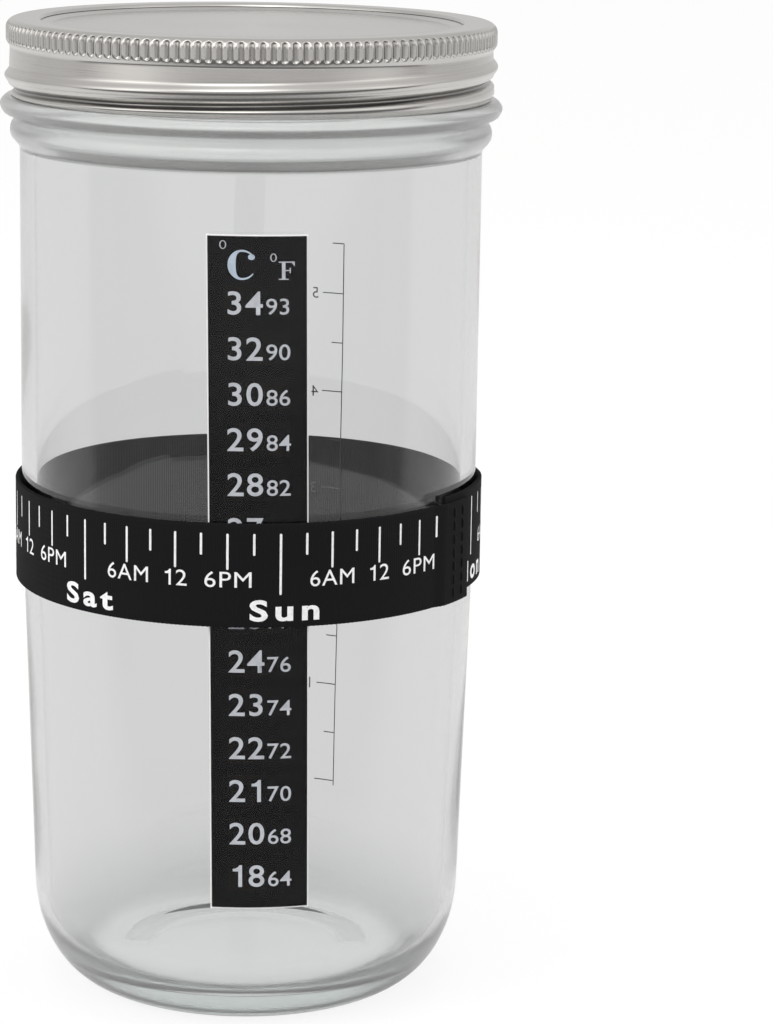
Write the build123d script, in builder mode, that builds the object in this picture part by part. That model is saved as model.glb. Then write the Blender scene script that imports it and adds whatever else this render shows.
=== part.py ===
"""Sourdough starter jar: a straight-sided glass jar with a two-piece screw lid,
a liquid crystal thermometer strip and an elastic band that marks level, day and hour.

Millimetres. +Z is up, the origin is the centre of the base and the front faces -Y.
Angles round the jar start at the front and grow towards +X.
"""
import os
from math import asin, cos, degrees, radians, sin

from build123d import *

os.makedirs("parts", exist_ok=True)

# Glass body
body_r = 42.6
wall = 2.75
rim_z = 180.3
rim_bevel = 0.8
straight_h = 68.0  # the wall is straight for this height below the shoulder
taper_w = 2.1  # and draws in by this from there down to the heel
heel_w = 13.8
heel_h = 20.0
heel_steps = 4
bearing_w = 2.5
inner_heel_w = 7.0
inner_heel_h = 11.0
floor_z = 7.0
base_slope_w = 4.2  # from the ring that the jar stands on in to the push-up
pushup_z = 2.4

# Glass finish, from the rim down: neck with its screw thread, flange, groove and bead
neck_h = 11.7
flange_reach = 3.6  # this and the next two reaches stand out from the body
flange_h = 3.1
flange_bevel = 0.9
groove_reach = 0.9
groove_h = 1.1
bead_reach = 1.75
bead_h = 3.7
shoulder_h = 1.3
thread_pitch = 5.08
thread_height = 1.15
thread_base_h = 2.5
thread_crest_h = 0.9
thread_bury = 0.6
thread_rise = 3.75  # from the flange up to the rib's middle at the front
thread_start_angle = -200.0
thread_end_angle = 250.0
thread_fade_angle = 35.0
thread_step_angle = 10.0

# Screw band, rolled from sheet
sheet = 0.3
running_gap = 0.05
opening_lip = 1.25  # the band's opening is smaller than the bore by this on each side
hem_w = 1.2
thread_clearance = 0.25
knurl_reach = 0.7  # the knurled shoulder stands out from the recess below it
knurl_h = 3.6
neckdown_h = 1.5
collar_h = 0.5
shoulder_r = 1.7
flute_count = 150
flute_depth = 0.4
flute_w = 1.3  # across the mouth of each flute
flute_floor_w = 0.5
joint_lap = 0.1  # extra wall on each side where the turned part meets the rolled part
skirt_reach = 0.35  # the skirt's edge stands out from the recess
skirt_clearance = 0.1
bead_clearance = 0.8  # from the neck to the tip of the rolled screw bead
thread_play = 0.4  # between the rolled bead and the glass rib above it
roll_tip_h = 0.7
roll_flank_h = 0.6
ridge_height = 0.75
ridge_crest_h = 1.4
ridge_flank_h = 0.85
row_gap = 0.15
roll_start_angle = -165.0
roll_end_angle = 155.0
roll_fade_angle = 50.0
roll_step_angle = 10.0

# Lid disc and its sealing ring
disc_play = 0.1  # the disc drops into the band past the rolled bead
disc_lip_h = 0.35
panel_gap = 0.7  # from the band's opening in to the disc's sunk panel
panel_depth = 0.45
panel_step_w = 0.9
gasket_h = 1.25
gasket_play = 0.3
gasket_setback = 0.25

# Thermometer strip, four layers on the outside of the glass
strip_foot_gap = 5.2  # from the heel up to the strip
strip_head_gap = 10.8  # from the strip up to the shoulder
strip_w = 17.9
strip_offset = 2.0  # the strip sits a little to the right of the front
adhesive_t = 0.1
backing_t = 0.1  # the liquid crystal cells fill windows through it
cover_t = 0.15
backing_inset = 0.3
cell_count = 14
cell_margin = 3.2
cell_spacing = 2.12
cell_head_gap = 12.0  # from the middle of the highest cell up to the strip's end
cell_foot_gap = 6.4

# Marker band, a woven elastic strip sewn into a loop
marker_low_z = 78.4
marker_w = 19.0
marker_t = 0.75
marker_clearance = 0.05
lap_start_angle = 50.0
lap_full_angle = 54.0
lap_end_angle = 65.0
stitch_t = 0.36
stitch_length = 1.9
stitch_gap = 0.6
stitch_margin = 1.6
stitch_angles = (57.5, 61.5)

# Heights and radii that follow from the sizes above
bore_r = body_r - wall
flange_r = body_r + flange_reach
groove_r = body_r + groove_reach
bead_r = body_r + bead_reach
crest_r = body_r + thread_height
flange_top_z = rim_z - neck_h
flange_low_z = flange_top_z - flange_h
bead_top_z = flange_low_z - groove_h
bead_low_z = bead_top_z - bead_h
body_top_z = bead_low_z - shoulder_h
taper_z = body_top_z - straight_h
thread_mid_z = flange_top_z + thread_rise
thread_flank = (thread_base_h - thread_crest_h) / 2 / thread_height

disc_low_z = rim_z + gasket_h
disc_top_z = disc_low_z + sheet
lid_top_z = disc_top_z + running_gap + 2 * sheet
opening_r = bore_r - opening_lip
recess_inner_r = crest_r + thread_clearance
recess_r = recess_inner_r + sheet
knurl_r = recess_r + knurl_reach
knurl_inner_r = knurl_r - flute_depth - sheet
knurl_low_z = lid_top_z - knurl_h
recess_z = knurl_low_z - neckdown_h
collar_low_z = recess_z - collar_h
rolled_top_z = collar_low_z + joint_lap
skirt_r = recess_r + skirt_reach
skirt_z = flange_top_z + skirt_clearance
roll_tip_r = body_r + bead_clearance
roll_depth = skirt_r - sheet - roll_tip_r
rib_half_at_tip = thread_crest_h / 2 + thread_flank * (crest_r - roll_tip_r)
roll_drop = rib_half_at_tip + thread_play + roll_tip_h / 2


def radial_plane(angle):
    """Vertical plane through the axis: local x points outwards at angle, local y is up."""
    a = radians(angle)
    return Plane(origin=(0, 0, 0), x_dir=(sin(a), -cos(a), 0), z_dir=(-cos(a), -sin(a), 0))


def round_point(radius, angle):
    """Point in plan at radius and angle."""
    return (radius * sin(radians(angle)), -radius * cos(radians(angle)))


def wall_radius(z, offset=0.0):
    """Outside radius of the glass at height z, or of a surface that stands offset from it."""
    share = max(0, (taper_z - z) / (taper_z - heel_h))
    return body_r - taper_w * share + offset


def wall_line(low, high, offset):
    """Draw the side of the glass from height low to high, offset from its outside."""
    bends = [taper_z] if low < taper_z < high else []
    Polyline(*[(wall_radius(z, offset), z) for z in (low, *bends, high)])


def heel_line(foot_r, side_z, width, height):
    """Draw a quarter of an ellipse in straight steps, from its foot out and up to its side."""
    angles = [radians(90 * i / heel_steps) for i in range(heel_steps + 1)]
    Polyline(*[(foot_r + width * sin(a), side_z - height * cos(a)) for a in angles])


def smooth(share):
    """Ease a 0 to 1 share at both ends."""
    share = max(0.0, min(1.0, share))
    return share * share * (3 - 2 * share)


def fade(angle, start, end, length):
    """1 between start and end, eased to 0 over length at both ends."""
    return min(smooth((angle - start) / length), smooth((end - angle) / length))


def rolled_profile(angle):
    """Outside of the band's rolled wall at angle, from the skirt up: (radius, height) points."""
    roll = fade(angle, roll_start_angle, roll_end_angle, roll_fade_angle)
    tip_low = thread_mid_z - roll_drop - roll_tip_h / 2 + thread_pitch * angle / 360
    tip_high = tip_low + roll_tip_h
    crest_low = tip_high + roll_flank_h + ridge_flank_h
    crest_high = crest_low + ridge_crest_h
    rows = [
        (skirt_z, 0),
        (tip_low - roll_flank_h, 0),
        (tip_low, -roll_depth),
        (tip_high, -roll_depth),
        (crest_low, ridge_height),
        (crest_high, ridge_height),
        (crest_high + ridge_flank_h, 0),
        (rolled_top_z, 0),
    ]
    profile = []
    for row, (z, swell) in enumerate(rows):
        highest = rolled_top_z - (len(rows) - 1 - row) * row_gap
        z = max(skirt_z + row * row_gap, min(highest, z))
        share = (z - skirt_z) / (rolled_top_z - skirt_z)
        profile.append((skirt_r + share * (recess_r - skirt_r) + roll * swell, z))
    return profile


# Glass jar: turned profile, then the screw thread
heel_r = wall_radius(heel_h)
bearing_r = heel_r - heel_w
slope_r = bearing_r - bearing_w
pushup_r = slope_r - base_slope_w
inner_heel_z = floor_z + inner_heel_h
floor_r = wall_radius(inner_heel_z, -wall) - inner_heel_w
with BuildPart() as glass_jar:
    with BuildSketch(Plane.XZ):
        with BuildLine():
            # base with its push-up, heel and side
            Polyline((0, pushup_z), (pushup_r, pushup_z), (slope_r, 0), (bearing_r, 0))
            heel_line(bearing_r, heel_h, heel_w, heel_h)
            wall_line(heel_h, body_top_z, 0)
            # shoulder, bead, groove, flange, neck and rim
            Polyline(
                (body_r, body_top_z),
                (bead_r, bead_low_z + shoulder_h / 2),
                (bead_r, bead_top_z - shoulder_h),
                (groove_r, bead_top_z),
                (groove_r, flange_low_z),
                (flange_r - flange_bevel, flange_low_z),
                (flange_r, flange_low_z + flange_bevel),
                (flange_r, flange_top_z - flange_bevel),
                (flange_r - flange_bevel, flange_top_z),
                (body_r, flange_top_z),
                (body_r, rim_z - rim_bevel),
                (body_r - rim_bevel, rim_z),
                (bore_r + rim_bevel, rim_z),
                (bore_r, rim_z - rim_bevel),
            )
            # inside
            wall_line(inner_heel_z, rim_z - rim_bevel, -wall)
            heel_line(floor_r, inner_heel_z, inner_heel_w, inner_heel_h)
            Polyline((floor_r, floor_z), (0, floor_z), (0, pushup_z))
        make_face()
    revolve(axis=Axis.Z)

    # The thread rib sinks into the neck at both ends
    rib_steps = round((thread_end_angle - thread_start_angle) / thread_step_angle)
    foot_half = thread_base_h / 2 + thread_flank * thread_bury
    crest_half = thread_crest_h / 2
    for i in range(rib_steps + 1):
        angle = thread_start_angle + i * (thread_end_angle - thread_start_angle) / rib_steps
        out = fade(angle, thread_start_angle, thread_end_angle, thread_fade_angle)
        sink = (1 - out) * (thread_height + thread_bury / 4)
        mid = thread_mid_z + thread_pitch * angle / 360
        with BuildSketch(radial_plane(angle)):
            with BuildLine():
                Polyline(
                    (body_r - thread_bury - sink, mid - foot_half),
                    (crest_r - sink, mid - crest_half),
                    (crest_r - sink, mid + crest_half),
                    (body_r - thread_bury - sink, mid + foot_half),
                    close=True,
                )
            make_face()
    loft(ruled=True)
glass_jar.part.label = "glass_jar"
export_step(glass_jar.part, "parts/glass_jar.step")

# Screw band: knurled wall, cut out of a stack of many-sided sections
hem_z = lid_top_z - 2 * sheet
top_under_z = lid_top_z - sheet
shoulder_z = lid_top_z - shoulder_r
top_r = knurl_r - shoulder_r
round_w = shoulder_r - 1.5 * flute_depth  # the shoulder's round ends inside the flutes' floors
round_angle = asin(round_w / shoulder_r)
round_r = top_r + round_w
round_low_z = shoulder_z + shoulder_r * cos(round_angle)
inner_bevel = shoulder_r - flute_depth
bevel_low_z = top_under_z - inner_bevel
bevel_mid_r = knurl_inner_r - (round_low_z - bevel_low_z)
collar_r = recess_r + joint_lap
collar_inner_r = recess_inner_r - joint_lap
knurl_sections = [
    (recess_z, collar_r + joint_lap / 2),
    (knurl_low_z, knurl_r),
    (shoulder_z, knurl_r),
    (round_low_z, round_r + joint_lap / 2),
]
with BuildPart() as screw_band:
    for z, radius in knurl_sections:
        with BuildSketch(Plane.XY.offset(z)):
            RegularPolygon(radius, flute_count)
    loft(ruled=True)

    # Flutes, one on each corner, that run out where the shoulder and the recess fall away
    flute_flank = (flute_w - flute_floor_w) / 2 / flute_depth
    cut_w = flute_w + 2 * flute_flank * running_gap
    with BuildSketch(Plane.XY.offset(recess_z)):
        with PolarLocations(knurl_r, flute_count):
            Polygon(
                (-flute_depth, -flute_floor_w / 2),
                (running_gap, -cut_w / 2),
                (running_gap, cut_w / 2),
                (-flute_depth, flute_floor_w / 2),
                align=None,
            )
    extrude(amount=round_low_z - recess_z, mode=Mode.SUBTRACT)

    # Inside of the knurled wall
    with BuildSketch(Plane.XZ):
        with BuildLine():
            Polyline(
                (0, recess_z),
                (collar_inner_r, recess_z),
                (knurl_inner_r, knurl_low_z),
                (knurl_inner_r, bevel_low_z),
                (bevel_mid_r, round_low_z),
                (0, round_low_z),
                close=True,
            )
        make_face()
    revolve(axis=Axis.Z, mode=Mode.SUBTRACT)

    # Round shoulder, flat top and the hem round its opening
    with BuildSketch(Plane.XZ):
        with BuildLine():
            Polyline(
                (top_r, lid_top_z),
                (
                    top_r + shoulder_r * sin(round_angle / 2),
                    shoulder_z + shoulder_r * cos(round_angle / 2),
                ),
                (round_r, round_low_z),
                (bevel_mid_r, round_low_z),
                (knurl_inner_r - inner_bevel, top_under_z),
                (opening_r + hem_w, top_under_z),
                (opening_r + hem_w, hem_z),
                (opening_r, hem_z),
                (opening_r, top_under_z),
                (opening_r + sheet, lid_top_z),
                close=True,
            )
        make_face()
    revolve(axis=Axis.Z)

    # Collar in the recess, where the rolled wall starts
    with BuildSketch(Plane.XY.offset(collar_low_z)):
        Circle(collar_r)
        Circle(collar_inner_r, mode=Mode.SUBTRACT)
    extrude(amount=collar_h)

    # Rolled wall: the same sheet all the way round, with the screw bead and the ridge above it
    for start, end in ((-180.0, 0.0), (0.0, 180.0)):
        wall_steps = round((end - start) / roll_step_angle)
        sections = []
        for i in range(wall_steps + 1):
            angle = start + i * (end - start) / wall_steps
            outside = rolled_profile(angle)
            inside = [(r - sheet, z) for r, z in reversed(outside)]
            plane = radial_plane(angle)
            corners = [plane.from_local_coords(Vector(r, z, 0)) for r, z in outside + inside]
            # one edge per corner, kept where they lie in line, so that every section matches
            sections.append(Face(Wire.make_polygon(corners)))
        loft(sections, ruled=True)
screw_band.part.label = "screw_band"
export_step(screw_band.part, "parts/screw_band.step")

# Lid disc: turned-down lip, flat seat and sunk panel
disc_r = roll_tip_r - disc_play
lip_inner_r = disc_r - sheet
lip_bevel = 2 * sheet
lip_low_z = disc_top_z - lip_bevel - disc_lip_h
panel_r = opening_r - panel_gap
with BuildPart() as lid_disc:
    with BuildSketch(Plane.XZ):
        with BuildLine():
            Polyline(
                (0, disc_top_z - panel_depth),
                (panel_r - panel_step_w, disc_top_z - panel_depth),
                (panel_r, disc_top_z),
                (disc_r - lip_bevel, disc_top_z),
                (disc_r, disc_top_z - lip_bevel),
                (disc_r, lip_low_z),
                (lip_inner_r, lip_low_z),
                (lip_inner_r, disc_low_z - sheet),
                (lip_inner_r - sheet, disc_low_z),
                (panel_r, disc_low_z),
                (panel_r - panel_step_w, disc_low_z - panel_depth),
                (0, disc_low_z - panel_depth),
                close=True,
            )
        make_face()
    revolve(axis=Axis.Z)
lid_disc.part.label = "lid_disc"
export_step(lid_disc.part, "parts/lid_disc.step")

# Sealing ring between the disc and the rim
gasket_outer_r = lip_inner_r - gasket_play
gasket_inner_r = bore_r + gasket_setback
with BuildPart() as sealing_ring:
    with BuildSketch(Plane.XZ):
        with Locations(((gasket_inner_r + gasket_outer_r) / 2, disc_low_z - gasket_h / 2)):
            Rectangle(gasket_outer_r - gasket_inner_r, gasket_h)
    revolve(axis=Axis.Z)
sealing_ring.part.label = "sealing_ring"
export_step(sealing_ring.part, "parts/sealing_ring.step")

# Thermometer strip: adhesive, black backing with its windows of liquid crystal, clear cover
strip_low_z = heel_h + strip_foot_gap
strip_high_z = body_top_z - strip_head_gap
layer_low_z = strip_low_z + backing_inset
layer_high_z = strip_high_z - backing_inset
layer_w = strip_w - 2 * backing_inset
backing_out = adhesive_t + backing_t
cover_out = backing_out + cover_t
cell_top_z = strip_high_z - cell_head_gap
cell_pitch = (cell_top_z - strip_low_z - cell_foot_gap) / (cell_count - 1)
cell_h = cell_pitch - cell_spacing
cell_w = strip_w - 2 * cell_margin


def strip_layer(low, high, inner, outer, width):
    """A thin layer on the curved wall, between two offsets from the glass, centred on the strip."""
    centre = degrees(strip_offset / body_r)
    span = degrees(width / body_r)
    with BuildPart() as layer:
        with BuildSketch(radial_plane(centre - span / 2)):
            with BuildLine():
                wall_line(low, high, outer)
                Line((wall_radius(high, outer), high), (wall_radius(high, inner), high))
                wall_line(low, high, inner)
                Line((wall_radius(low, inner), low), (wall_radius(low, outer), low))
            make_face()
        revolve(axis=Axis.Z, revolution_arc=span)
    return layer.part


with BuildPart() as thermometer_adhesive:
    add(strip_layer(strip_low_z, strip_high_z, 0, adhesive_t, strip_w))
thermometer_adhesive.part.label = "thermometer_adhesive"
export_step(thermometer_adhesive.part, "parts/thermometer_adhesive.step")

cells = []
for i in range(cell_count):
    middle = cell_top_z - i * cell_pitch
    cells.append(
        strip_layer(middle - cell_h / 2, middle + cell_h / 2, adhesive_t, backing_out, cell_w)
    )
with BuildPart() as crystal_cells:
    add(cells)
crystal_cells.part.label = "crystal_cells"
export_step(crystal_cells.part, "parts/crystal_cells.step")

with BuildPart() as thermometer_backing:
    add(strip_layer(layer_low_z, layer_high_z, adhesive_t, backing_out, layer_w))
    add(cells, mode=Mode.SUBTRACT)
thermometer_backing.part.label = "thermometer_backing"
export_step(thermometer_backing.part, "parts/thermometer_backing.step")

with BuildPart() as thermometer_cover:
    add(strip_layer(layer_low_z, layer_high_z, backing_out, cover_out, layer_w))
thermometer_cover.part.label = "thermometer_cover"
export_step(thermometer_cover.part, "parts/thermometer_cover.step")

# Marker band: a loop of woven elastic whose outer end laps over the other
marker_inner_r = body_r + cover_out + marker_clearance
marker_outer_r = marker_inner_r + marker_t
lap_r = marker_outer_r + marker_t
lap_middle_angle = (lap_start_angle + lap_end_angle) / 2
with BuildPart() as marker_band:
    with BuildSketch(Plane.XY.offset(marker_low_z)):
        Circle(marker_outer_r)
        with BuildLine():
            Line(
                round_point(marker_inner_r, lap_start_angle),
                round_point(marker_outer_r, lap_start_angle),
            )
            Line(round_point(marker_outer_r, lap_start_angle), round_point(lap_r, lap_full_angle))
            ThreePointArc(
                round_point(lap_r, lap_full_angle),
                round_point(lap_r, (lap_full_angle + lap_end_angle) / 2),
                round_point(lap_r, lap_end_angle),
            )
            Line(round_point(lap_r, lap_end_angle), round_point(marker_inner_r, lap_end_angle))
            ThreePointArc(
                round_point(marker_inner_r, lap_end_angle),
                round_point(marker_inner_r, lap_middle_angle),
                round_point(marker_inner_r, lap_start_angle),
            )
        make_face()
        Circle(marker_inner_r, mode=Mode.SUBTRACT)
    extrude(amount=marker_w)
marker_band.part.label = "marker_band"
export_step(marker_band.part, "parts/marker_band.step")

# Two columns of stitches hold the lap
stitch_pitch = stitch_length + stitch_gap
stitch_rows = int((marker_w - 2 * stitch_margin) / stitch_pitch) + 1
stitch_first_z = marker_low_z + (marker_w - (stitch_rows - 1) * stitch_pitch) / 2
stitch_zs = [stitch_first_z + row * stitch_pitch for row in range(stitch_rows)]
with BuildPart() as seam_stitches:
    for angle in stitch_angles:
        with Locations(radial_plane(angle)):
            with Locations(*[(lap_r + stitch_t / 2, z) for z in stitch_zs]):
                Box(stitch_t, stitch_length, stitch_t)
seam_stitches.part.label = "seam_stitches"
export_step(seam_stitches.part, "parts/seam_stitches.step")
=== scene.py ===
"""Looks of the sourdough starter jar: glass, rolled lid, printed strip and woven marker band.

Lengths are in millimetres and angles in degrees from the front towards +X, unless a comment says
otherwise. The meshes and the shaders' coordinates are in metres, as the frame is.
"""
from math import cos, degrees, pi, radians, sin

import bmesh
import bpy
from mathutils import Matrix, Vector


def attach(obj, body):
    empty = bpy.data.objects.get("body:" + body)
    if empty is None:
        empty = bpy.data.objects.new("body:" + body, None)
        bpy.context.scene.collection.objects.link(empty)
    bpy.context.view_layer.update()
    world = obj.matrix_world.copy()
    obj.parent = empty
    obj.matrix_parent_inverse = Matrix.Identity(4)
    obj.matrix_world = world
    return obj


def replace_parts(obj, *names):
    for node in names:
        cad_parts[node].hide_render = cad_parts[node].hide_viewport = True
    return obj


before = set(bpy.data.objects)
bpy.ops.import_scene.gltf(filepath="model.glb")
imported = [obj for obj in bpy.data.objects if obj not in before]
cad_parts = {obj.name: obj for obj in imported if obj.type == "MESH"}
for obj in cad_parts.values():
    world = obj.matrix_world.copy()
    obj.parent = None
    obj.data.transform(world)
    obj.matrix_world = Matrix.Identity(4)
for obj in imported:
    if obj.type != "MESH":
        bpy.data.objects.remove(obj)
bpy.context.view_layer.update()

MM = 0.001

# Glass body
body_r = 42.6
wall = 2.75
bore_r = body_r - wall
rim_z = 180.3
rim_round = 0.85
body_top_z = 159.4
taper_z = 91.4  # the wall is straight above this and draws in below it
taper_w = 2.1
taper_ease = 12.0
heel_w = 13.8
heel_h = 20.0
bearing_r = 26.7
bearing_inner_r = 24.2
pushup_r = 18.2
pushup_z = 1.2
pushup_crown = 0.2
inner_heel_w = 7.0
inner_heel_h = 11.0
inner_heel_z = 18.0
floor_z = 7.0
round_columns = 288

# Glass finish above the shoulder
bead_r = 44.35
bead_low_z = 161.35
bead_high_z = 163.1
groove_r = 43.5
groove_z = 164.4
flange_r = 46.2
flange_low_z = 165.5
flange_top_z = 168.6
flange_round = 1.2
thread_mid_z = 172.35
thread_pitch = 5.08
thread_height = 1.15
thread_half_h = 1.3
thread_flank = 0.9
thread_start_angle = -200
thread_end_angle = 250
thread_fade_angle = 35

# Screw band, rolled from sheet
sheet = 0.3
lid_top_z = 182.5
opening_r = 38.6
opening_top_r = 38.97
hem_r = 39.8
skirt_r = 44.65
recess_r = 44.3
roll_low_z = 168.7
roll_top_z = 177.2
roll_start_angle = -165
roll_end_angle = 155
roll_fade_angle = 50
roll_steps = 38
screw_drop = 1.444  # from the middle of the glass rib down to the rolled screw bead
screw_depth = 1.15
screw_half_h = 1.05
ridge_rise = 2.5  # from the screw bead up to the ridge
ridge_height = 0.8
ridge_half_h = 1.6
curl_w = 0.5  # the skirt's edge curls in
curl_h = 1.3
knurl_r = 45.0
knurl_inner_r = 44.3
knurl_low_z = 178.55
shoulder_r = 1.7
flute_count = 150
flute_deep = 0.55
flute_half_w = 0.68
flute_middle_z = 180.15
flute_straight_h = 1.35  # on each side of the middle, before the round end
flute_end_h = 0.62
flute_flank = 0.8
band_columns = 400
knurl_columns = flute_count * 8

# Lid disc
panel_z = 181.4
panel_r = 36.9
disc_z = 181.85
disc_shelf_r = 37.9
disc_r = 43.3
disc_lip_z = 180.9

# Thermometer strip
strip_angle_middle = 2.47
strip_lean = -0.0165  # degrees per millimetre of height
strip_middle_z = 87
strip_low_z = 25.2
strip_high_z = 148.6
glue_out = (0.01, 0.1)  # this and the next three are from the glass to a layer's two sides
film_out = (0.1, 0.2)
cell_out = (0.12, 0.206)
cover_out = (0.212, 0.35)
print_out = 0.365
glue_half_w = 8.95
film_half_w = 8.65
film_inset = 0.3
cell_half_w = 5.75
cell_half_h = 3.0
cell_count = 14
row_top_z = 136.6
row_pitch = 8.08

# Marker band
marker_low_z = 78.4
marker_w = 19.0
marker_inner_r = 43.0
marker_t = 0.75
marker_outer_r = marker_inner_r + marker_t
marker_print_r = marker_outer_r + 0.035
marker_round = 0.26
marker_start_angle = -305.4
marker_end_angle = 65.0
marker_columns = 900
lap_start_angle = 50
lap_step_angle = 4
lap_gap = 0.01
end_lift_h = 1.1
end_lift_angle = -245
end_lift_span = 45
edge_w = 1.2
edge_inset = 0.06
edge_swell = 0.015
scallop_w = 0.05
scallop_count = 330
stitch_angles = (57.5, 61.5)
stitch_rows = 7
stitch_first_z = 80.4
stitch_pitch = 2.5
stitch_length = 1.9
stitch_r = 0.17
stitch_sag = 0.16


def smooth(share):
    share = max(0.0, min(1.0, share))
    return share * share * (3 - 2 * share)


def fade(angle, start, end, length):
    """1 between two angles, eased to 0 at both."""
    return min(smooth((angle - start) / length), smooth((end - angle) / length))


def sign(value):
    return 1 if value > 0 else -1


def around(radius, angle, z):
    """Point in metres from millimetres, with the angle from the front towards +X."""
    a = radians(angle)
    return (radius * sin(a) * MM, -radius * cos(a) * MM, z * MM)


def wall_radius(z):
    """Outside of the glass body."""
    share = max(0.0, (taper_z - z) / (taper_z - heel_h))
    return body_r - taper_w * share


def soften(corners, steps=5):
    """Round each (r, z, cut) corner of a profile with a curve that starts cut away from it."""
    points = []
    for i, (r, z, cut) in enumerate(corners):
        if not cut:
            points.append((r, z))
            continue
        here = Vector((r, z))
        before = Vector(corners[i - 1][:2]) - here
        after = Vector(corners[i + 1][:2]) - here
        start = here + before.normalized() * min(cut, before.length * 0.5)
        end = here + after.normalized() * min(cut, after.length * 0.5)
        for k in range(steps + 1):
            t = k / steps
            p = start * (1 - t) ** 2 + here * (2 * t * (1 - t)) + end * t * t
            points.append((p.x, p.y))
    return points


def ellipse(cx, cz, a, b, first, last, steps):
    points = []
    for k in range(steps + 1):
        t = radians(first + (last - first) * k / steps)
        points.append((cx + a * cos(t), cz + b * sin(t)))
    return points


def ring_faces(faces, row_a, row_b):
    """Join two rings of vertices, where one may have a whole multiple of the other's count."""
    if len(row_a) == 1 or len(row_b) == 1:
        tip, row = (row_a, row_b) if len(row_a) == 1 else (row_b, row_a)
        for i in range(len(row)):
            faces.append((tip[0], row[i], row[(i + 1) % len(row)]))
        return
    coarse, fine = (row_a, row_b) if len(row_a) <= len(row_b) else (row_b, row_a)
    times = len(fine) // len(coarse)
    for i in range(len(coarse)):
        edge = [fine[(i * times + k) % len(fine)] for k in range(times, -1, -1)]
        faces.append((coarse[i], coarse[(i + 1) % len(coarse)], *edge))


def add_skin(verts, faces, rings, joined=False, capped=False):
    """Skin over rings of points, whose two ends can be joined to each other or capped."""
    rows = []
    for ring in rings:
        rows.append(range(len(verts), len(verts) + len(ring)))
        verts += ring
    for a, b in zip(rows, rows[1:]):
        ring_faces(faces, a, b)
    if joined:
        ring_faces(faces, rows[-1], rows[0])
    if capped:
        faces.append(tuple(rows[0]))
        faces.append(tuple(reversed(rows[-1])))


def new_piece(name, mesh, material, body):
    mesh.materials.append(material)
    piece = bpy.data.objects.new(name, mesh)
    bpy.context.scene.collection.objects.link(piece)
    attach(piece, body)
    return piece


def new_mesh(name, verts, faces, material, body, flat=False):
    mesh = bpy.data.meshes.new(name)
    mesh.from_pydata(verts, [], faces)
    mesh.validate()
    bm = bmesh.new()
    bm.from_mesh(mesh)
    bmesh.ops.remove_doubles(bm, verts=bm.verts, dist=1e-8)
    bmesh.ops.recalc_face_normals(bm, faces=bm.faces)
    for face in bm.faces:
        face.smooth = not flat
    bm.to_mesh(mesh)
    bm.free()
    return new_piece(name, mesh, material, body)


def lathe(name, profile, material, body, swell=None):
    """Turn a profile of (r, z) round the axis; swell(r, z, angle) is added to the radius."""
    rings = []
    for r, z in profile:
        if r == 0:
            rings.append([around(0, 0, z)])
            continue
        angles = [360 * i / round_columns - 180 for i in range(round_columns)]
        rings.append([around(r + (swell(r, z, a) if swell else 0), a, z) for a in angles])
    verts = []
    faces = []
    add_skin(verts, faces, rings)
    return new_mesh(name, verts, faces, material, body)


# Materials


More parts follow.
